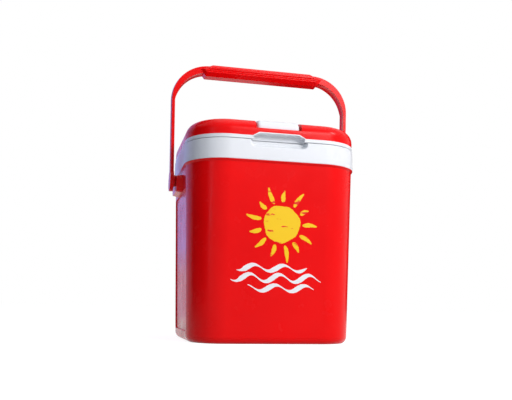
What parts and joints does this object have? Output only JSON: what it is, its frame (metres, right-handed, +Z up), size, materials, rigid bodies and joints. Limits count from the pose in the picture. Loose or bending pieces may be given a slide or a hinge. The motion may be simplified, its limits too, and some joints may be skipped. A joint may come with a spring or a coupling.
{
  "type": "vaccine carrier",
  "caption": "Hand-held insulated carrier box: drafted tub, collar with finger scoop, lift-off lid with a pour hatch, upright bail with grip, and ice packs round the space inside.",
  "frame": {"origin": "middle of the footprint, on the ground plane", "axes": "+X to the right seen from the front, +Y from the front face to the back, +Z up"},
  "size_m": [0.255, 0.222, 0.3779],
  "materials": {
    "red_plastic": "glossy moulded polypropylene",
    "white_plastic": "glossy moulded polypropylene",
    "foam": "rigid closed-cell foam",
    "seal_rubber": "soft silicone rubber",
    "steel_rod": "drawn stainless wire",
    "pack_plastic": "translucent blue blow-moulded polyethylene"
  },
  "bodies": {
    "box": {"outer_shell": "red_plastic", "filler_plug": "red_plastic", "foam_body": "foam", "inner_liner": "white_plastic", "rim_collar": "white_plastic", "pivot_pin_left": "red_plastic", "pivot_pin_right": "red_plastic", "ice_pack_front": "pack_plastic", "ice_pack_right": "pack_plastic", "ice_pack_back": "pack_plastic", "ice_pack_left": "pack_plastic", "ice_pack_cap_front": "white_plastic", "ice_pack_cap_right": "white_plastic", "ice_pack_cap_back": "white_plastic", "ice_pack_cap_left": "white_plastic"},
    "bail": {"bail_strap": "red_plastic", "grip_upper": "red_plastic", "grip_lower": "red_plastic"},
    "lid": {"lid_cover": "red_plastic", "lid_pan": "white_plastic", "lid_foam": "foam", "lid_gasket": "seal_rubber", "pour_throat": "white_plastic", "hatch_hinge_pin": "steel_rod"},
    "hatch": {"hatch_cover": "white_plastic", "hatch_plug": "white_plastic", "hatch_seal": "seal_rubber"}
  },
  "joints": [
    {"name": "bail_swing", "type": "hinge", "parent": "box", "child": "bail", "pos_m": [0, 0, 0.211], "axis": [1, 0, 0], "range_deg": [-131, 131]},
    {"name": "lid_lift", "type": "slide", "parent": "box", "child": "lid", "axis": [0, 0, 1], "range_m": [0, 0.045]},
    {"name": "hatch_turn", "type": "hinge", "parent": "lid", "child": "hatch", "pos_m": [0, -0.034, 0.275], "axis": [-1, 0, 0], "range_deg": [0, 100]}
  ]
}
